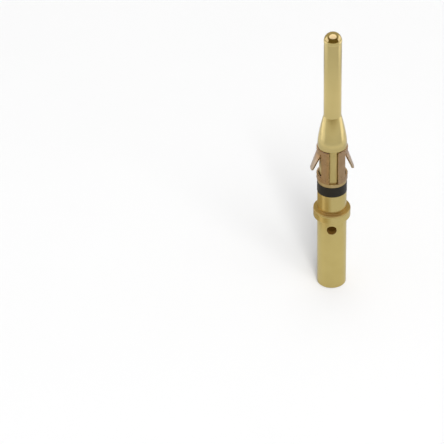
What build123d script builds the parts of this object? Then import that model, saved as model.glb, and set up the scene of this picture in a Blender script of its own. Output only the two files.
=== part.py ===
from build123d import *
import math
import os

# Turned pin contact for a crimped wire, standing on the mouth of its crimp barrel.
# The origin is the centre of the barrel's mouth and +Z runs along the axis to the pin's tip.
# The inspection hole faces -Y. All sizes are in millimetres.

# Turned body, lengths along the axis from the mouth to the tip
barrel_length = 7.58
collar_length = 0.87
seat_length = 3.25
shoulder_length = 0.74
cone_length = 2.55
pin_length = 8.33

# Turned body, diameters
barrel_diameter = 2.7
collar_diameter = 3.4
seat_diameter = 2.67
groove_diameter = 2.28
shoulder_diameter = 2.64
pin_diameter = 1.575
nose_diameter = 1.61
cone_radius = 26.0

# Turned body, edges
mouth_edge = 0.09
collar_edge = 0.06
shoulder_edge = 0.04
collar_root_radius = 0.05

# Crimp barrel: blind drilled bore, and the hole that shows the wire's end
bore_diameter = 1.7
bore_end_margin = 0.38
bore_lead_in = 0.15
drill_point_angle = 118.0
inspection_diameter = 0.88
inspection_inset = 0.54
inspection_edge = 0.04

# Retention clip, rolled from thin sheet into a sleeve that turns in the groove
clip_length = 3.34
clip_sheet = 0.17
clip_radial_clearance = 0.1
clip_seat_clearance = 0.03
clip_end_play = 0.07
clip_turn = 6.3
seam_angle = 36.0
upper_ring_length = 0.34
lower_ring_length = 0.52
window_half_angle = 40.0
window_corner = 0.12

# Retention tines, bent out of the windows towards the barrel
tine_length = 1.92
tine_spread = 3.96
tine_bend_radius = 0.35
tine_root_width = 1.5
tine_tip_width = 0.84
tine_corner = 0.1

# Colour band printed on the seat, a little below the groove
band_width = 1.02
band_thickness = 0.02
band_lip = 0.33

# Heights of the shoulders, worked out from the lengths above
groove_length = clip_seat_clearance + clip_length + clip_end_play
collar_base = barrel_length
collar_top = collar_base + collar_length
groove_base = collar_top + seat_length
groove_top = groove_base + groove_length
cone_base = groove_top + shoulder_length
cone_top = cone_base + cone_length
tip_height = cone_top + pin_length

# The bore stops short of the collar, and the inspection hole shows the end of the bore
bore_depth = collar_base - bore_end_margin
inspection_height = bore_depth - inspection_inset

# Radii of the turned body
barrel_radius = barrel_diameter / 2
collar_radius = collar_diameter / 2
seat_radius = seat_diameter / 2
groove_radius = groove_diameter / 2
shoulder_radius = shoulder_diameter / 2
pin_radius = pin_diameter / 2
nose_radius = nose_diameter / 2
nose_base = tip_height - nose_radius - math.sqrt(nose_radius**2 - pin_radius**2)
bore_radius = bore_diameter / 2

os.makedirs("parts", exist_ok=True)

# Turned body: one revolved outline, drilled from the mouth and from the side
with BuildPart() as contact_body:
    with BuildSketch(Plane.XZ):
        with BuildLine():
            Polyline(
                (0, 0),
                (barrel_radius - mouth_edge, 0),
                (barrel_radius, mouth_edge),
                (barrel_radius, collar_base),
                (collar_radius - collar_edge, collar_base),
                (collar_radius, collar_base + collar_edge),
                (collar_radius, collar_top - collar_edge),
                (collar_radius - collar_edge, collar_top),
                (seat_radius + collar_root_radius, collar_top),
            )
            RadiusArc(
                (seat_radius + collar_root_radius, collar_top),
                (seat_radius, collar_top + collar_root_radius),
                collar_root_radius,
            )
            Polyline(
                (seat_radius, collar_top + collar_root_radius),
                (seat_radius, groove_base - shoulder_edge),
                (seat_radius - shoulder_edge, groove_base),
                (groove_radius, groove_base),
                (groove_radius, groove_top),
                (shoulder_radius - shoulder_edge, groove_top),
                (shoulder_radius, groove_top + shoulder_edge),
                (shoulder_radius, cone_base),
            )
            RadiusArc((shoulder_radius, cone_base), (pin_radius, cone_top), -cone_radius)
            Line((pin_radius, cone_top), (pin_radius, nose_base))
            RadiusArc((pin_radius, nose_base), (0, tip_height), -nose_radius)
            Line((0, tip_height), (0, 0))
        make_face()
    revolve(axis=Axis.Z)
    with BuildSketch(Plane.XZ):
        with BuildLine():
            Polyline(
                (0, 0),
                (bore_radius + bore_lead_in, 0),
                (bore_radius, bore_lead_in),
                (bore_radius, bore_depth),
                (0, bore_depth + bore_radius / math.tan(math.radians(drill_point_angle / 2))),
                close=True,
            )
        make_face()
    revolve(axis=Axis.Z, mode=Mode.SUBTRACT)
    with BuildSketch(Plane.XZ):
        with Locations((0, inspection_height)):
            Circle(inspection_diameter / 2)
    extrude(amount=barrel_diameter, mode=Mode.SUBTRACT)
    hole_rim = contact_body.edges().filter_by(GeomType.BSPLINE).sort_by(Axis.Y)[0]
    chamfer(hole_rim, length=inspection_edge)
contact_body.part.label = "contact_body"

# Retention clip: the sleeve is a rolled strip, so its seam and windows have radial edges
clip_inner_radius = groove_radius + clip_radial_clearance
clip_outer_radius = clip_inner_radius + clip_sheet
clip_base = groove_base + clip_seat_clearance
clip_top = clip_base + clip_length
window_base = clip_base + lower_ring_length
window_top = clip_top - upper_ring_length
seam_direction = -90.0 + clip_turn

# One tine: a curved strip swept outwards from the upper ring, then cut to its tapered outline
sleeve_radius = (clip_inner_radius + clip_outer_radius) / 2
tine_tip_radius = (tine_spread - clip_sheet) / 2
tine_tip_height = window_top - tine_length
tongue_base = tine_tip_height - clip_sheet
tongue_taper = (tine_root_width - tine_tip_width) / tine_length
tongue_base_width = tine_tip_width - tongue_taper * clip_sheet
window_reach = tine_spread
window_wedge = [
    (0, 0),
    (window_reach, -window_reach * math.tan(math.radians(window_half_angle))),
    (window_reach, window_reach * math.tan(math.radians(window_half_angle))),
]
with BuildPart() as tine:
    with BuildLine(Plane.XZ) as tine_path:
        FilletPolyline(
            (sleeve_radius, window_top),
            (sleeve_radius, window_top - tine_bend_radius / 2),
            (tine_tip_radius, tine_tip_height),
            radius=tine_bend_radius,
        )
    with BuildSketch(Plane.XY.offset(window_top)):
        Circle(clip_outer_radius)
        Circle(clip_inner_radius, mode=Mode.SUBTRACT)
        Polygon(*window_wedge, align=None, mode=Mode.INTERSECT)
    sweep(path=tine_path.line)
    with BuildSketch(Plane.YZ):
        with BuildLine():
            Polyline(
                (-tine_root_width / 2, window_top),
                (tine_root_width / 2, window_top),
                (tongue_base_width / 2, tongue_base),
                (-tongue_base_width / 2, tongue_base),
                close=True,
            )
        make_face()
    extrude(amount=tine_spread, mode=Mode.INTERSECT)
    fillet(tine.edges().filter_by(GeomType.LINE).group_by(Axis.Z)[0], radius=tine_corner)

# Sleeve with its seam, its two windows with rounded corners, and a tine in each window
with BuildPart() as retention_clip:
    with BuildSketch(Plane.XZ.rotated((0, 0, seam_direction + seam_angle / 2))):
        with Locations((sleeve_radius, (clip_base + clip_top) / 2)):
            Rectangle(clip_sheet, clip_length)
    revolve(axis=Axis.Z, revolution_arc=360 - seam_angle)
    with BuildSketch(Plane.XY.offset(window_base)):
        with PolarLocations(0, 2, start_angle=seam_direction + 90):
            Polygon(*window_wedge, align=None)
    extrude(amount=window_top - window_base, mode=Mode.SUBTRACT)
    radial_edges = retention_clip.edges().filter_by(GeomType.LINE).group_by(Axis.Z)
    fillet(radial_edges[1] + radial_edges[-2], radius=window_corner)
    with PolarLocations(0, 2, start_angle=seam_direction + 90):
        add(tine.part)
retention_clip.part.label = "retention_clip"

# Colour band: a ring of ink on the seat
band_top = groove_base - band_lip
with BuildPart() as colour_band:
    with BuildSketch(Plane.XY.offset(band_top - band_width)):
        Circle(seat_radius + band_thickness)
        Circle(seat_radius, mode=Mode.SUBTRACT)
    extrude(amount=band_width)
colour_band.part.label = "colour_band"

export_step(contact_body.part, "parts/contact_body.step")
export_step(retention_clip.part, "parts/retention_clip.step")
export_step(colour_band.part, "parts/colour_band.step")
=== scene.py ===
import bmesh
import bpy
import math
from mathutils import Matrix, Vector


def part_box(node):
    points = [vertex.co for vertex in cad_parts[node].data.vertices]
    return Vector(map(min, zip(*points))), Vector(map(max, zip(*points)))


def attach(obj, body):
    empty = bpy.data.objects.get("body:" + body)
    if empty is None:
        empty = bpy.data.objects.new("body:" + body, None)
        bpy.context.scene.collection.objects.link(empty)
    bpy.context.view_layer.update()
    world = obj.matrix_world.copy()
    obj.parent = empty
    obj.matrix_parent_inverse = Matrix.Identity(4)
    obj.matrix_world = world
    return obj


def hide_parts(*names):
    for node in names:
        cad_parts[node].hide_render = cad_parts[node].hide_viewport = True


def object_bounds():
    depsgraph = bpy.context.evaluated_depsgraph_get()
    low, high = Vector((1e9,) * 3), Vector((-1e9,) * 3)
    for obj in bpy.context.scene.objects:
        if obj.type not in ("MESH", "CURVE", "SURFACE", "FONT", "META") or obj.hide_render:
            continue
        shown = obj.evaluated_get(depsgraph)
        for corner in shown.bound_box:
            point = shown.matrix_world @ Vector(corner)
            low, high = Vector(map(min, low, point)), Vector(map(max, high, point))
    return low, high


# A turned pin contact with a crimp barrel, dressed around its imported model.
# Shapes are written in millimetres and scaled to metres when their mesh is made.
# +Z runs from the barrel's mouth, on the floor, to the pin's tip, and the inspection hole faces -Y.

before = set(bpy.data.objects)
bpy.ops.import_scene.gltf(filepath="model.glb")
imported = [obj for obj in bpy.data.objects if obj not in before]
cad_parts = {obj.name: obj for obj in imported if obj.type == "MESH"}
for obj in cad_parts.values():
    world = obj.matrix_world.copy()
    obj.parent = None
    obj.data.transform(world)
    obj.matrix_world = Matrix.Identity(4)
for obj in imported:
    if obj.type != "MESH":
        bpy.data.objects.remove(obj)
cad_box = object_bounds()
millimetre = 0.001

# The photograph's camera: place, lens and the three angles that it is turned by
frame_pixels = 444
focal_pixels = 1979.7
camera_distance = 147.17
camera_height = 113.77
camera_pitch = math.radians(36.004)
camera_yaw = math.radians(-3.924)
camera_roll = math.radians(-1.956)

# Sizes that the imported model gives: its height, and the corners of the boxes round the band and the clip
tip_height = cad_box[1][2] / millimetre
band_low, band_high = (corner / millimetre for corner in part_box("colour_band"))
clip_low, clip_high = (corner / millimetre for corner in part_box("retention_clip"))

# Turned body: lengths along the axis, radii and edges
collar_base = 7.58
collar_top = 8.45
clip_seat_gap = 0.03
clip_end_gap = 0.07
shoulder_length = 0.74
cone_length = 2.55
groove_base = clip_low.z - clip_seat_gap
groove_top = clip_high.z + clip_end_gap
cone_base = groove_top + shoulder_length
cone_top = cone_base + cone_length
cone_curve = 26.0
cone_blend = 5.0
cone_blend_steps = 12
barrel_radius = 1.35
collar_radius = 1.7
seat_radius = 1.335
groove_radius = 1.14
shoulder_radius = 1.32
pin_radius = 0.7875
nose_radius = 0.805
mouth_edge = 0.08
collar_edge = 0.06
shoulder_edge = 0.04
root_radius = 0.05
fine_edge = 0.015

# Crimp barrel: drilled bore and the hole in its side
bore_radius = 0.85
bore_mouth_radius = 1.0
bore_lead_in = 0.15
bore_depth = 7.2
bore_apex = 7.711
hole_radius = 0.44
hole_height = 6.66
hole_edge = 0.04

# Retention clip: a rolled strip with a seam, two windows and two bent tines
sheet = 0.17
clip_radius = 1.325
seam_direction = math.radians(-83.7)
seam_half = math.radians(18.0)
window_half = math.radians(40.0)
lower_ring = 0.52
upper_ring = 0.34
window_low = clip_low.z + lower_ring
window_high = clip_high.z - upper_ring
window_corner = 0.12
clip_corner = 0.04
tine_root_half = 0.797
tine_tip_half = 0.427
tine_corner = 0.1
tine_start = 0.175
tine_bend = 0.35
tine_drop = 1.92
tine_reach = 0.57
stamped_edge = 0.018

# The clip's colour turns browner from +X to -X, over this distance on each side of its axis
clip_tint_reach = 1.3

# Colour band
band_edge = 0.008

# Paper that the contact stands on
floor_size = 600.0

# Painted reflection: how bright the metal sees the paper, in dimmer and lighter rings at shares of this
# distance from the contact
painted_reflection_reach = 240.0
painted_reflection = [
    (0.03, (0.60, 0.60, 0.58)),
    (0.085, (0.50, 0.505, 0.55)),
    (0.11, (0.55, 0.555, 0.62)),
    (0.145, (0.80, 0.80, 0.86)),
    (0.16, (0.46, 0.47, 0.53)),
    (0.26, (0.53, 0.54, 0.59)),
    (0.50, (0.67, 0.67, 0.71)),
    (0.68, (0.42, 0.39, 0.32)),
]

# Painted reflections on the paper, seen only by the metal: a brown patch at the left, a painted highlight
# line across it, and a paler zone behind.
# Each has its start and end in millimetres, and the shares of the way where it is faded in and fades out.
painted_patch_zone = (10.5, 18.0, 0.2, 0.65)
painted_patch_colour = (0.36, 0.28, 0.14)
painted_patch_side = 7.0
painted_highlight_zone = (-9.6, -1.2, 0.35, 0.65)
painted_highlight_colour = (0.64, 0.54, 0.42)
painted_rear_zone = (42.0, 75.0, 0.12, 0.7)
painted_rear_colour = (0.74, 0.74, 0.80)
painted_rear_start, painted_rear_end = -12.0, 4.0

# Lamps for the paper: a wide one overhead and far ones, and the paper's brightness turned into theirs
fill_height = 500
fill_width = 2400
lamp_distance = 2000.0
paper_to_lamp = 3.61

# Softboxes that only the metal mirrors: upright ones at the sides, and sheets of light low over the paper
side_box_height = 39
side_box_width = 34
sheet_height = 0.5
sheet_length = 64
box_colour = (1, 1, 1.4)
sheet_colour = (1, 1, 1.3)

# The room: the light that the metal mirrors in front and behind, and what the camera sees
room_front = (0.15, 0.11, 0.04, 1)
room_back = (0.46, 0.42, 0.36, 1)
room_seen = (0.9, 0.9, 0.9, 1)
room_turn = (-0.3, 0.5)

# How finely round surfaces are divided
columns = 192
hole_columns = 20
arc_steps = 5
nose_steps = 36
cone_steps = 36
tine_steps = 6
clip_column = math.radians(2.5)

# Edges of the clip's sheet that turn by more than this are softened
sharp_turn = math.radians(50)

# Slack when places are compared: on the outline, where the blank is cut, on the blank and beside a tine
outline_slack = 1e-6
cut_slack = 1e-5
blank_slack = 1e-4
tine_slack = 1e-3


def rounded(corners, closed=False):
    """Points of an outline whose corners, each (x, z, radius), are rounded by arcs."""
    points = []
    count = len(corners)
    for i, (x, z, radius) in enumerate(corners):
        here = Vector((x, z))
        if radius == 0 or (not closed and i in (0, count - 1)):
            points.append(here)
            continue
        arrive = (here - Vector(corners[i - 1][:2])).normalized()
        leave = (Vector(corners[(i + 1) % count][:2]) - here).normalized()
        turn = arrive.angle(leave)
        inward = (leave - arrive * arrive.dot(leave)).normalized()
        start = here - arrive * radius * math.tan(turn / 2)
        for k in range(arc_steps + 1):
            a = turn * k / arc_steps
            points.append(start + arrive * radius * math.sin(a) + inward * radius * (1 - math.cos(a)))
    return points


def bulge(start, end, radius, steps):
    """Points of an arc between two points, bulging away from the axis, without its first point."""
    chord = end - start
    outward = Vector((chord.y, -chord.x)).normalized()
    depth = math.sqrt(radius ** 2 - (chord.length / 2) ** 2)
    centre = (start + end) / 2 - outward * depth
    half = math.asin(chord.length / 2 / radius)
    along = chord.normalized()
    angles = [half * (2 * k / steps - 1) for k in range(1, steps + 1)]
    return [centre + radius * (outward * math.cos(a) + along * math.sin(a)) for a in angles]


def wall_rows(radius):
    """Heights where a wall of the barrel is divided, so that its squares line up with the round hole."""
    half = radius * math.sin(hole_columns * math.tau / columns)
    return [hole_height + half * k / hole_columns for k in range(-hole_columns, hole_columns + 1)]


def body_outline():
    """Half section of the turned body, from the bore's end round the mouth to the pin's tip."""
    cone_foot = Vector((shoulder_radius, cone_base))
    cone = bulge(cone_foot, Vector((pin_radius, cone_top)), cone_curve, cone_steps)
    outline = rounded([
        (0, bore_apex, 0),
        (bore_radius, bore_depth, fine_edge),
        (bore_radius, bore_lead_in, 2 * fine_edge),
        (bore_mouth_radius, 0, fine_edge),
        (barrel_radius, 0, mouth_edge),
        (barrel_radius, collar_base, fine_edge),
        (collar_radius, collar_base, collar_edge),
        (collar_radius, collar_top, collar_edge),
        (seat_radius, collar_top, root_radius),
        (seat_radius, groove_base, shoulder_edge),
        (groove_radius, groove_base, fine_edge),
        (groove_radius, groove_top, fine_edge),
        (shoulder_radius, groove_top, shoulder_edge),
        (shoulder_radius, cone_base, cone_blend),
        (*cone[cone_blend_steps], 0),
    ])
    inner = [Vector((bore_radius, z)) for z in reversed(wall_rows(bore_radius))]
    outer = [Vector((barrel_radius, z)) for z in wall_rows(barrel_radius)]
    below_inner = next(i for i, p in enumerate(outline) if p.y < inner[-1].y)
    on_outside = barrel_radius - outline_slack
    above_outer = next(i for i, p in enumerate(outline) if p.x >= on_outside and p.y > outer[-1].y)
    points = outline[:below_inner] + inner + outline[below_inner:above_outer]
    points += outer + outline[above_outer:]
    points += cone[cone_blend_steps + 1:]
    nose_centre = tip_height - nose_radius
    under = math.acos(pin_radius / nose_radius)
    for k in range(nose_steps):
        a = (math.pi / 2 + under) * k / nose_steps - under
        points.append(Vector((nose_radius * math.cos(a), nose_centre + nose_radius * math.sin(a))))
    points.append(Vector((0, tip_height)))
    return points


class Shell:
    """A mesh in millimetres whose points each carry the direction that their surface faces."""

    def __init__(self):
        self.mesh = bmesh.new()
        self.outward = self.mesh.verts.layers.float_vector.new("outward")

    def point(self, place, outward):
        """A new point, and the direction that its surface faces there."""
        vert = self.mesh.verts.new(place)
        vert[self.outward] = outward
        return vert

    def face(self, *verts, finish=0):
        """A new face, in the first or another of the piece's finishes."""
        self.mesh.faces.new(verts).material_index = finish

    def bridge(self, first, second, finish=0):
        """Quads between two closed rows of points."""
        for k in range(len(first)):
            n = (k + 1) % len(first)
            self.face(first[k], first[n], second[n], second[k], finish=finish)

    def finish(self, name):
        """The finished object, in metres, shaded by the stored directions."""
        bmesh.ops.recalc_face_normals(self.mesh, faces=self.mesh.faces)
        normals = [v[self.outward].copy() for v in self.mesh.verts]
        data = bpy.data.meshes.new(name)
        self.mesh.to_mesh(data)
        self.mesh.free()
        data.transform(Matrix.Scale(millimetre, 4))
        data.shade_smooth()
        data.normals_split_custom_set_from_vertices(normals)
        piece = bpy.data.objects.new(name, data)
        bpy.context.scene.collection.objects.link(piece)
        return piece


def revolve(shell, points):
    """Rings of points round the axis, one for each point of the outline, or one point on the axis."""
    rings = []
    for i, p in enumerate(points):
        before, after = points[max(i - 1, 0)], points[min(i + 1, len(points) - 1)]
        slope = (after - before).normalized()
        if p.x < outline_slack:
            rings.append([shell.point((0, 0, p.y), (0, 0, 1 if i else -1))])
            continue
        ring = []
        for k in range(columns):
            a = math.tau * (k / columns - 0.25)
            ring.append(shell.point(
                (p.x * math.cos(a), p.x * math.sin(a), p.y),
                (slope.y * math.cos(a), slope.y * math.sin(a), -slope.x),
            ))
        rings.append(ring)
    return rings


def hole_loops(shell, rings, first_row, radius, outside):
    """Loops of points on a wall of the barrel, from the square left open to the round tunnel's start."""
    n = hole_columns
    square = [(-n + k, -n) for k in range(2 * n)] + [(n, -n + k) for k in range(2 * n)]
    square += [(n - k, n) for k in range(2 * n)] + [(-n, n - k) for k in range(2 * n)]
    side = 1 if outside else -1
    middle_row = first_row + n
    loops = [[rings[middle_row + side * row][column % columns] for column, row in square]]
    rim = hole_radius + hole_edge

    def wall_point(across, height, sunk, tilt, angle):
        depth = math.sqrt(radius ** 2 - across ** 2)
        wall = Vector((across / radius, -depth / radius, 0)) * side
        inward = Vector((-math.cos(angle), 0, -math.sin(angle)))
        outward = wall * math.cos(tilt) + inward * math.sin(tilt)
        return shell.point((across, -depth + side * sunk, height), outward)

    for k in range(1, arc_steps + 1):
        loop = []
        for (column, row), corner in zip(square, loops[0]):
            angle = math.atan2(row, column)
            across = corner.co.x + (rim * math.cos(angle) - corner.co.x) * k / arc_steps
            height = corner.co.z + (hole_height + rim * math.sin(angle) - corner.co.z) * k / arc_steps
            loop.append(wall_point(across, height, 0, 0, angle))
        loops.append(loop)
    for k in range(1, arc_steps + 1):
        tilt = math.pi / 2 * k / arc_steps
        reach = rim - hole_edge * math.sin(tilt)
        sunk = hole_edge * (1 - math.cos(tilt))
        loop = []
        for column, row in square:
            angle = math.atan2(row, column)
            loop.append(wall_point(
                reach * math.cos(angle), hole_height + reach * math.sin(angle), sunk, tilt, angle))
        loops.append(loop)
    for a, b in zip(loops, loops[1:]):
        shell.bridge(a, b, 0 if outside else 1)
    return loops[-1]


def build_body():
    """Turned body with its drilled bore and the inspection hole in the barrel's side."""
    points = body_outline()
    shell = Shell()
    rings = revolve(shell, points)
    n = hole_columns
    inner_start = wall_rows(bore_radius)[-1]
    outer_start = wall_rows(barrel_radius)[0]
    inner_row = next(i for i, p in enumerate(points) if abs(p.y - inner_start) < outline_slack)
    outer_row = next(
        i for i, p in enumerate(points)
        if p.x > bore_mouth_radius and abs(p.y - outer_start) < outline_slack
    )
    for i, (a, b) in enumerate(zip(rings, rings[1:])):
        for k in range(columns):
            m = (k + 1) % columns
            in_rows = inner_row <= i < inner_row + 2 * n or outer_row <= i < outer_row + 2 * n
            if in_rows and (k < n or k >= columns - n):
                continue
            if len(a) == 1:
                shell.face(a[0], b[k], b[m], finish=1)
            elif len(b) == 1:
                shell.face(a[k], a[m], b[0])
            else:
                drilled = points[i + 1].x < bore_mouth_radius and points[i + 1].y < bore_apex
                shell.face(a[k], a[m], b[m], b[k], finish=int(drilled))
    outer_rim = hole_loops(shell, rings, outer_row, barrel_radius, True)
    inner_rim = hole_loops(shell, rings, inner_row, bore_radius, False)
    shell.bridge(outer_rim, inner_rim, 1)
    return shell.finish("turned_body")


def build_band():
    """Ring of marking ink with soft edges."""
    low, high, reach = band_low.z, band_high.z, band_high.x
    corners = [
        (seat_radius, low, 0),
        (reach, low, band_edge),
        (reach, high, band_edge),
        (seat_radius, high, 0),
    ]
    shell = Shell()
    points = rounded(corners)
    rings = revolve(shell, points)
    for a, b in zip(rings, rings[1:]):
        shell.bridge(a, b)
    shell.bridge(rings[-1], rings[0])
    return shell.finish("ink_band")


def tine_lengths():
    """Straight start, bend angle, bend length and straight end of the line that a tine follows."""
    turn = math.atan2(tine_reach, tine_drop - tine_start)
    lost = tine_bend * math.tan(turn / 2)
    rest = math.hypot(tine_reach, tine_drop - tine_start) - lost
    return tine_start - lost, turn, tine_bend * turn, rest


def tine_line(s):
    """Radius, height and heading of a tine's middle, at the distance s below the window's top."""
    start, turn, arc, _ = tine_lengths()
    if s <= start:
        return clip_radius, window_high - s, 0.0
    a = min((s - start) / tine_bend, turn)
    radius = clip_radius + tine_bend * (1 - math.cos(a))
    height = window_high - start - tine_bend * math.sin(a)
    past = max(s - start - arc, 0.0)
    return radius + past * math.sin(turn), height - past * math.cos(turn), a


def flat_blank():
    """The clip's blank before it is rolled, with its windows and tongues, x round the clip and z up."""
    half_strip = (math.pi - seam_half) * clip_radius
    outlines = [rounded([
        (-half_strip, clip_low.z, clip_corner),
        (half_strip, clip_low.z, clip_corner),
        (half_strip, clip_high.z, clip_corner),
        (-half_strip, clip_high.z, clip_corner),
    ], closed=True)]
    start, _, arc, rest = tine_lengths()
    tine_end = window_high - start - arc - rest
    edge = window_half * clip_radius
    for side in (-1, 1):
        middle = side * math.pi / 2 * clip_radius
        outlines.append(rounded([
            (middle - edge, window_low, window_corner),
            (middle - edge, window_high, window_corner / 2),
            (middle - tine_root_half, window_high, clip_corner),
            (middle - tine_tip_half, tine_end, tine_corner),
            (middle + tine_tip_half, tine_end, tine_corner),
            (middle + tine_root_half, window_high, clip_corner),
            (middle + edge, window_high, window_corner / 2),
            (middle + edge, window_low, window_corner),
        ], closed=True))
    flat = bmesh.new()
    edges = []
    for outline in outlines:
        verts = [flat.verts.new((p.x, 0, p.y)) for p in outline]
        edges += [flat.edges.new((a, b)) for a, b in zip(verts, verts[1:] + verts[:1])]
    bmesh.ops.triangle_fill(flat, edges=edges, normal=(0, 1, 0))
    steps = int((math.pi - seam_half) / clip_column)
    cuts = [((k * clip_column * clip_radius, 0, 0), (1, 0, 0)) for k in range(-steps, steps + 1)]
    heights = [window_low, window_high]
    heights += [window_high - start - arc * k / arc_steps for k in range(arc_steps + 1)]
    heights += [window_high - (start + arc) - rest * k / tine_steps for k in range(1, tine_steps)]
    cuts += [((0, 0, z), (0, 0, 1)) for z in heights]
    for place, direction in cuts:
        geometry = flat.verts[:] + flat.edges[:] + flat.faces[:]
        bmesh.ops.bisect_plane(flat, geom=geometry, dist=cut_slack, plane_co=place, plane_no=direction)
    slanted = []
    for e in flat.edges:
        run = e.verts[1].co - e.verts[0].co
        if not e.is_boundary and abs(run.x) > blank_slack and abs(run.z) > blank_slack:
            slanted.append(e)
    bmesh.ops.dissolve_edges(flat, edges=slanted, use_verts=False)
    return flat


def clip_place(x, z, lift):
    """Where a point of the blank, lifted from the sheet's middle, lands in the rolled and bent clip."""
    start, _, arc, rest = tine_lengths()
    length = start + arc + rest
    side = 1 if x > 0 else -1
    across = x - side * math.pi / 2 * clip_radius
    s = window_high - z
    reach = tine_root_half + (tine_tip_half - tine_root_half) * s / length
    strip_middle = seam_direction + math.pi
    if 0 < s < length + blank_slack and abs(across) < reach + tine_slack:
        radius, height, heading = tine_line(s)
        phi = across / clip_radius
        out = (clip_radius + lift) * math.cos(phi) - clip_radius
        along = (clip_radius + lift) * math.sin(phi)
        r = radius + out * math.cos(heading)
        h = height + out * math.sin(heading)
        a = strip_middle + side * math.pi / 2
        return Vector((r * math.cos(a) - along * math.sin(a), r * math.sin(a) + along * math.cos(a), h))
    a = strip_middle + x / clip_radius
    return Vector(((clip_radius + lift) * math.cos(a), (clip_radius + lift) * math.sin(a), z))


def build_clip():
    """The stamped and rolled clip, with softened edges all round its sheet."""
    flat = flat_blank()
    shell = Shell()
    layers = []
    for lift in (-sheet / 2, sheet / 2):
        layers.append({v: shell.point(clip_place(v.co.x, v.co.z, lift), (0, 0, 0)) for v in flat.verts})
    for f in flat.faces:
        shell.face(*(layers[0][v] for v in f.verts))
        shell.face(*(layers[1][v] for v in reversed(f.verts)))
    for e in flat.edges:
        if e.is_boundary:
            a, b = e.verts
            shell.face(layers[0][a], layers[0][b], layers[1][b], layers[1][a])
    flat.free()
    mesh = shell.mesh
    bmesh.ops.recalc_face_normals(mesh, faces=mesh.faces)
    mesh.normal_update()
    bmesh.ops.bevel(
        mesh,
        geom=[e for e in mesh.edges if e.calc_face_angle(0) > sharp_turn],
        offset=stamped_edge,
        segments=2,
        profile=0.5,
        affect="EDGES",
        clamp_overlap=True,
    )
    mesh.normal_update()
    for v in mesh.verts:
        total = Vector()
        for f in v.link_faces:
            total += f.normal * f.calc_area()
        v[shell.outward] = total.normalized()
    return shell.finish("stamped_clip")


class Nodes:
    """Short helpers to wire up a material's nodes."""

    def __init__(self, name):
        self.material = bpy.data.materials.new(name)
        self.material.use_nodes = True
        self.tree = self.material.node_tree
        self.shader = self.tree.nodes["Principled BSDF"]

    def add(self, kind, **values):
        """A new node with its settings."""
        node = self.tree.nodes.new(kind)
        for key, value in values.items():
            setattr(node, key, value)
        return node

    def link(self, source, target):
        """A link from an output to a socket."""
        self.tree.links.new(source, target)

    def millimetres(self, scale=(1, 1, 1)):
        """The object's own coordinates in millimetres, scaled along each axis."""
        place = self.add("ShaderNodeTexCoord").outputs["Object"]
        mapping = self.add("ShaderNodeMapping")
        mapping.inputs["Scale"].default_value = [s / millimetre for s in scale]
        self.link(place, mapping.inputs["Vector"])
        return mapping.outputs["Vector"]

    def noise(self, vector, scale, detail=3.0, roughness=0.5):
        """Uneven values from 0 to 1, with patches that shrink as the scale grows."""
        node = self.add("ShaderNodeTexNoise")
        node.inputs["Scale"].default_value = scale
        node.inputs["Detail"].default_value = detail
        node.inputs["Roughness"].default_value = roughness
        self.link(vector, node.inputs["Vector"])
        return node.outputs["Fac"]

    def ramp(self, value, stops):
        """A colour ramp of (position, colour) stops."""
        node = self.add("ShaderNodeValToRGB")
        ramp = node.color_ramp
        while len(ramp.elements) < len(stops):
            ramp.elements.new(0.5)
        for element, (position, colour) in zip(ramp.elements, stops):
            element.position = position
            element.color = (*colour, 1)
        self.link(value, node.inputs["Fac"])
        return node.outputs["Color"]

    def spread(self, value, low, high, start=0.0, end=1.0):
        """The value's range from start to end turned into the range from low to high."""
        node = self.add("ShaderNodeMapRange")
        for socket, number in (("From Min", start), ("From Max", end), ("To Min", low), ("To Max", high)):
            node.inputs[socket].default_value = number
        self.link(value, node.inputs["Value"])
        return node.outputs["Result"]

    def blend(self, factor, first, second, kind="MIX"):
        """A mix of two colours, each either a node's output or a constant."""
        node = self.add("ShaderNodeMix", data_type="RGBA", blend_type=kind)
        for socket, value in ((0, factor), (6, first), (7, second)):
            if isinstance(value, bpy.types.NodeSocket):
                self.link(value, node.inputs[socket])
            elif socket:
                node.inputs[socket].default_value = (*value, 1)
            else:
                node.inputs[socket].default_value = value
        return node.outputs[2]

    def coordinate(self, vector, axis):
        """One coordinate of a vector."""
        node = self.add("ShaderNodeSeparateXYZ")
        self.link(vector, node.inputs["Vector"])
        return node.outputs[axis]

    def up_axis(self, place, stops):
        """A colour ramp of (height, colour) stops along the contact's axis."""
        height = self.spread(self.coordinate(place, "Z"), 0, 1, 0, tip_height)
        return self.ramp(height, [(z / tip_height, colour) for z, colour in stops])

    def zone(self, value, start, end, faded_in, fading_out):
        """White where the value is well between start and end, and black outside."""
        black, white = (0, 0, 0), (1, 1, 1)
        stops = [(0.0, black), (faded_in, white), (fading_out, white), (1.0, black)]
        return self.ramp(self.spread(value, 0, 1, start, end), stops)

    def length(self, vector):
        """The length of a vector."""
        node = self.add("ShaderNodeVectorMath", operation="LENGTH")
        self.link(vector, node.inputs[0])
        return node.outputs["Value"]

    def bump(self, height, strength, distance):
        """A surface roughened by a height, whose full depth is a distance in millimetres."""
        node = self.add("ShaderNodeBump")
        node.inputs["Strength"].default_value = strength
        node.inputs["Distance"].default_value = distance * millimetre
        self.link(height, node.inputs["Height"])
        return node.outputs["Normal"]


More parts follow.
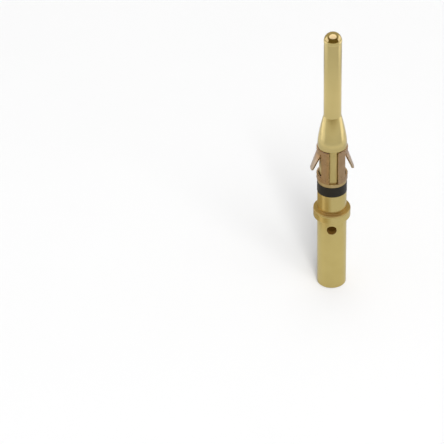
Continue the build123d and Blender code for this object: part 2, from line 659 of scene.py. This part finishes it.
def gold_plate():
    """Satin gold plating over turning marks, rougher at the seat's foot and in the groove, with painted
    shade where the seat meets the collar and in the strip between the band and the clip.
    """
    n = Nodes("gold_plate")
    shader = n.shader
    place = n.millimetres()
    tone = n.noise(place, 0.9)
    colour = n.ramp(tone, [(0.3, (0.71, 0.565, 0.215)), (0.7, (0.75, 0.60, 0.235))])
    shader.inputs["Metallic"].default_value = 1.0
    # Painted shade: darker where the seat meets the collar's top, and darker and cooler in the strip between
    # the band and the clip's lower end.
    unshaded, corner_shade, strip_shade = (1, 1, 1), (0.86, 0.77, 0.62), (0.82, 0.76, 0.88)
    painted_shade = n.up_axis(place, [
        (collar_top - 0.12, unshaded),
        (collar_top - 0.03, corner_shade),
        (collar_top + 0.06, corner_shade),
        (collar_top + 0.35, unshaded),
        (band_high.z - 0.05, unshaded),
        (band_high.z, strip_shade),
        (groove_base - 0.01, strip_shade),
        (groove_base + 0.01, unshaded),
    ])
    n.link(n.blend(1.0, colour, painted_shade, "MULTIPLY"), shader.inputs["Base Color"])
    satin, foot, groove, nose = ((rough, rough, rough) for rough in (0.17, 0.42, 0.38, 0.13))
    roughness = n.up_axis(place, [
        (collar_top - 0.3, satin),
        (collar_top - 0.05, foot),
        (collar_top + 0.05, foot),
        (collar_top + 0.3, satin),
        (groove_base - 0.02, satin),
        (groove_base + 0.02, groove),
        (groove_top - 0.02, groove),
        (groove_top + 0.02, satin),
        (tip_height - 1.15, satin),
        (tip_height - 0.85, nose),
    ])
    n.link(roughness, shader.inputs["Roughness"])
    shader.inputs["Anisotropic"].default_value = 0.6
    shader.inputs["Anisotropic Rotation"].default_value = 0.25
    tangent = n.add("ShaderNodeTangent", direction_type="RADIAL", axis="Z")
    n.link(tangent.outputs["Tangent"], shader.inputs["Tangent"])
    marks = n.noise(n.millimetres((0.3, 0.3, 14)), 1.0, detail=4.0, roughness=0.7)
    n.link(n.bump(marks, 0.1, 0.004), shader.inputs["Normal"])
    return n.material


def painted_bore_shade():
    """Painted shade inside the drilled bore: a dark brown wall, with a faint painted glow in place of light
    that reaches inside.
    """
    n = Nodes("painted_bore_shade")
    shader = n.shader
    rings = n.noise(n.millimetres((0.4, 0.4, 9)), 1.0, detail=3.0)
    # Painted shade: the bore's wall is dark brown, not metal, for the dim inside of the hole.
    colour = n.ramp(rings, [(0.3, (0.06, 0.03, 0.006)), (0.7, (0.09, 0.045, 0.009))])
    n.link(colour, shader.inputs["Base Color"])
    shader.inputs["Roughness"].default_value = 0.7
    shader.inputs["Specular IOR Level"].default_value = 0.2
    # Painted light: a faint orange glow, though the wall is no lamp, in place of light that reaches inside.
    shader.inputs["Emission Color"].default_value = (0.9, 0.43, 0.06, 1)
    shader.inputs["Emission Strength"].default_value = 0.055
    n.link(n.bump(rings, 0.2, 0.01), shader.inputs["Normal"])
    return n.material


def clip_alloy():
    """Bare stamped copper alloy with a rolled grain and uneven tarnish, browner towards -X, lighter on the
    tines, and with cut edges and an inner face that are lightened partly as bare metal and partly as painted
    light.
    """
    n = Nodes("clip_alloy")
    shader = n.shader
    shader.inputs["Metallic"].default_value = 1.0
    tarnish = n.noise(n.millimetres(), 1.6, detail=5.0, roughness=0.6)
    sheet_tone = n.ramp(tarnish, [
        (0.3, (0.435, 0.285, 0.148)),
        (0.55, (0.485, 0.327, 0.174)),
        (0.75, (0.55, 0.38, 0.217)),
    ])
    across = n.spread(n.coordinate(n.millimetres(), "X"), 0, 1, -clip_tint_reach, clip_tint_reach)
    browner = n.ramp(across, [
        (0.1, (1, 0.92, 0.74)),
        (0.25, (1, 0.95, 0.84)),
        (0.36, (1.09, 1.0, 0.75)),
        (0.6, (1, 1, 1)),
    ])
    toned = n.blend(1.0, sheet_tone, browner, "MULTIPLY")
    reach = n.length(n.millimetres((1, 1, 0)))
    outside = clip_radius + sheet / 2
    # The tines, which stand out from the sheet, are coloured lighter.
    lighter_tines = n.blend(n.spread(reach, 0, 1, outside + 0.03, outside + 0.25), toned, (0.53, 0.41, 0.26))
    # Painted light: the cut edges and the sheet's inner face are lightened to lift the shade in the seam's
    # gaps, besides showing bare cut metal.
    sheared_painted_light = n.spread(reach, 1, 0, outside - 0.03, outside - 0.015)
    colour = n.blend(sheared_painted_light, lighter_tines, (0.90, 0.71, 0.45))
    n.link(colour, shader.inputs["Base Color"])
    satin = n.blend(sheared_painted_light, n.spread(tarnish, 0.22, 0.36), (0.6, 0.6, 0.6))
    n.link(satin, shader.inputs["Roughness"])
    grain = n.noise(n.millimetres((16, 16, 1.5)), 1.0, detail=4.0, roughness=0.7)
    n.link(n.bump(grain, 0.12, 0.004), shader.inputs["Normal"])
    return n.material


def band_ink():
    """Black marking ink, satin, with a slightly uneven film."""
    n = Nodes("band_ink")
    shader = n.shader
    film = n.noise(n.millimetres(), 3.0, detail=4.0)
    colour = n.ramp(film, [(0.3, (0.010, 0.008, 0.003)), (0.7, (0.016, 0.013, 0.006))])
    n.link(colour, shader.inputs["Base Color"])
    n.link(n.spread(film, 0.28, 0.45), shader.inputs["Roughness"])
    shader.inputs["Specular IOR Level"].default_value = 0.3
    fine = n.noise(n.millimetres((9, 9, 4)), 1.0, detail=3.0)
    n.link(n.bump(fine, 0.15, 0.004), shader.inputs["Normal"])
    return n.material


def floor_paper():
    """Matt white paper, which the metal sees as a painted reflection: a dimmer sheet with painted zones of
    other colours.
    """
    n = Nodes("floor_paper")
    shader = n.shader
    place = n.millimetres()
    tone = n.ramp(n.noise(place, 0.05), [(0.0, (0.86, 0.86, 0.86)), (1.0, (0.88, 0.88, 0.88))])
    distance, depth = n.length(place), n.coordinate(place, "Y")
    # Painted reflection: the paper's colour as the metal sees it, dimmer near the contact, with lighter and
    # darker rings farther out.
    dimmer = n.ramp(n.spread(distance, 0, 1, 0, painted_reflection_reach), painted_reflection)
    left = n.spread(n.coordinate(place, "X"), 1, 0, -painted_patch_side, 0)
    # Painted reflection: a brown patch at the left side of the contact.
    patch = n.blend(1.0, n.zone(distance, *painted_patch_zone), left, "MULTIPLY")
    dimmer = n.blend(patch, dimmer, painted_patch_colour)
    # Painted highlight: a bright line across the brown patch.
    slit = n.blend(1.0, n.zone(depth, *painted_highlight_zone), patch, "MULTIPLY")
    dimmer = n.blend(slit, dimmer, painted_highlight_colour)
    # Painted reflection: a paler zone behind the contact.
    behind = n.spread(depth, 0, 1, painted_rear_start, painted_rear_end)
    rear = n.blend(1.0, n.zone(distance, *painted_rear_zone), behind, "MULTIPLY")
    dimmer = n.blend(rear, dimmer, painted_rear_colour)
    # Only rays that the metal reflects see these painted colours; the camera sees the plain paper.
    mirror = n.add("ShaderNodeLightPath").outputs["Is Glossy Ray"]
    n.link(n.blend(mirror, tone, dimmer), shader.inputs["Base Color"])
    shader.inputs["Roughness"].default_value = 1.0
    shader.inputs["Specular IOR Level"].default_value = 0.0
    return n.material


def build_floor():
    """A square of white paper that the contact stands on."""
    data = bpy.data.meshes.new("floor")
    half = floor_size / 2 * millimetre
    corners = [(-half, -half, 0), (half, -half, 0), (half, half, 0), (-half, half, 0)]
    data.from_pydata(corners, [], [(0, 1, 2, 3)])
    floor = bpy.data.objects.new("floor", data)
    bpy.context.scene.collection.objects.link(floor)
    data.materials.append(floor_paper())


def softbox(name, centre, target, width, height, radiance, colour=(1, 1, 1), for_metal=False, oval=False):
    """A soft area light of a given brightness, which lights the paper or is mirrored by the metal."""
    light = bpy.data.lights.new(name, "AREA")
    light.shape = "ELLIPSE" if oval else "RECTANGLE"
    light.size = width * millimetre
    light.size_y = height * millimetre
    light.color = colour
    area = light.size * light.size_y * (math.pi / 4 if oval else 1)
    light.energy = radiance * math.pi * area
    lamp = bpy.data.objects.new(name, light)
    bpy.context.scene.collection.objects.link(lamp)
    direction = Vector(target) - Vector(centre)
    aim = direction.to_track_quat("-Z", "Y").to_matrix().to_4x4()
    lamp.matrix_world = Matrix.Translation(Vector(centre) * millimetre) @ aim
    lamp.visible_diffuse = not for_metal
    lamp.visible_glossy = for_metal


def build_room():
    """The room: pale to the camera, and for the metal dark in front and lighter behind."""
    world = bpy.data.worlds.new("room")
    bpy.context.scene.world = world
    world.use_nodes = True
    world.cycles_visibility.diffuse = False
    tree = world.node_tree
    direction = tree.nodes.new("ShaderNodeTexCoord").outputs["Generated"]
    axes = tree.nodes.new("ShaderNodeSeparateXYZ")
    tree.links.new(direction, axes.inputs["Vector"])
    turn = tree.nodes.new("ShaderNodeMapRange")
    turn.inputs["From Min"].default_value = room_turn[0]
    turn.inputs["From Max"].default_value = room_turn[1]
    tree.links.new(axes.outputs["Y"], turn.inputs["Value"])
    room = tree.nodes.new("ShaderNodeMix")
    room.data_type = "RGBA"
    tree.links.new(turn.outputs["Result"], room.inputs[0])
    room.inputs[6].default_value = room_front
    room.inputs[7].default_value = room_back
    seen = tree.nodes.new("ShaderNodeMix")
    seen.data_type = "RGBA"
    rays = tree.nodes.new("ShaderNodeLightPath")
    tree.links.new(rays.outputs["Is Camera Ray"], seen.inputs[0])
    tree.links.new(room.outputs[2], seen.inputs[6])
    seen.inputs[7].default_value = room_seen
    tree.links.new(seen.outputs[2], tree.nodes["Background"].inputs["Color"])


def studio_lamp(name, azimuth, elevation, width, share):
    """A far lamp for the paper only, by its angles in degrees and its share of the paper's brightness.

    The azimuth runs from the camera's side towards +X, and the width is what the paper sees.
    """
    a, e = math.radians(azimuth), math.radians(elevation)
    centre = lamp_distance * Vector((math.cos(e) * math.sin(a), -math.cos(e) * math.cos(a), math.sin(e)))
    size = lamp_distance * math.radians(width)
    radiance = paper_to_lamp * share / (math.radians(width) ** 2 * math.sin(e))
    softbox(name, centre, (0, 0, 0), size, size, radiance)


def build_lights():
    """Lamps that light the paper, and softboxes that only the metal mirrors."""
    build_room()
    softbox("fill", (0, 0, fill_height), (0, 0, 0), fill_width, fill_width, radiance=0.475)
    for name, azimuth, elevation, width, share in (
        ("key", 9, 48, 14.3, 0.35),
        ("near_right", 30, 50, 26, 0.20),
        ("far_right", 60, 60, 24, 0.05),
        ("high_back", 180, 72, 24, 0.06),
    ):
        studio_lamp(name, azimuth, elevation, width, share)
    softbox("top_box", (0, -8, 130), (0, 0, 26), 190, 140, 0.95, (1, 0.97, 1.5), for_metal=True, oval=True)
    for name, side, depth, length in (("left_box", -56, -2, 66), ("right_box", 56, 23, 82)):
        centre, target = (side, depth, side_box_height), (0, depth, side_box_height)
        softbox(name, centre, target, length, side_box_width, 0.78, box_colour, for_metal=True)
    for side, name, depth in ((-1, "left", 5), (1, "right", 21)):
        for reach, width, radiance, place in ((52, 24, 0.24, "_near"), (86, 90, 0.34, "_far")):
            centre = Vector((side * reach, depth, sheet_height))
            above = centre + Vector((0, 0, 20))
            softbox(name + place, centre, above, width, sheet_length, radiance, sheet_colour, for_metal=True)


def build_camera():
    """The photograph's camera, from its place and its three angles."""
    cp, sp = math.cos(camera_pitch), math.sin(camera_pitch)
    cy, sy = math.cos(camera_yaw), math.sin(camera_yaw)
    forward = Vector((sy * cp, cy * cp, -sp))
    level = Vector((cy, -sy, 0))
    upright = level.cross(forward)
    right = math.cos(camera_roll) * level + math.sin(camera_roll) * upright
    up = math.cos(camera_roll) * upright - math.sin(camera_roll) * level
    data = bpy.data.cameras.new("camera")
    data.sensor_fit = "HORIZONTAL"
    data.lens = data.sensor_width * focal_pixels / frame_pixels
    data.clip_start = 0.005
    camera = bpy.data.objects.new("camera", data)
    bpy.context.scene.collection.objects.link(camera)
    turn = Matrix((right, up, -forward)).transposed().to_4x4()
    place = Vector((0, -camera_distance, camera_height)) * millimetre
    camera.matrix_world = Matrix.Translation(place) @ turn
    bpy.context.scene.camera = camera


def dress(piece, node, body, slot, *materials):
    """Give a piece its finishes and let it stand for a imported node."""
    for material in materials:
        piece.data.materials.append(material)
    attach(piece, body)
    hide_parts(node)


build_camera()
dress(build_body(), "contact_body", "contact", "gold_plate", gold_plate(), painted_bore_shade())
dress(build_band(), "colour_band", "contact", "band_ink", band_ink())
dress(build_clip(), "retention_clip", "clip", "clip_alloy", clip_alloy())
build_floor()
build_lights()
bpy.context.scene.view_settings.view_transform = "Standard"
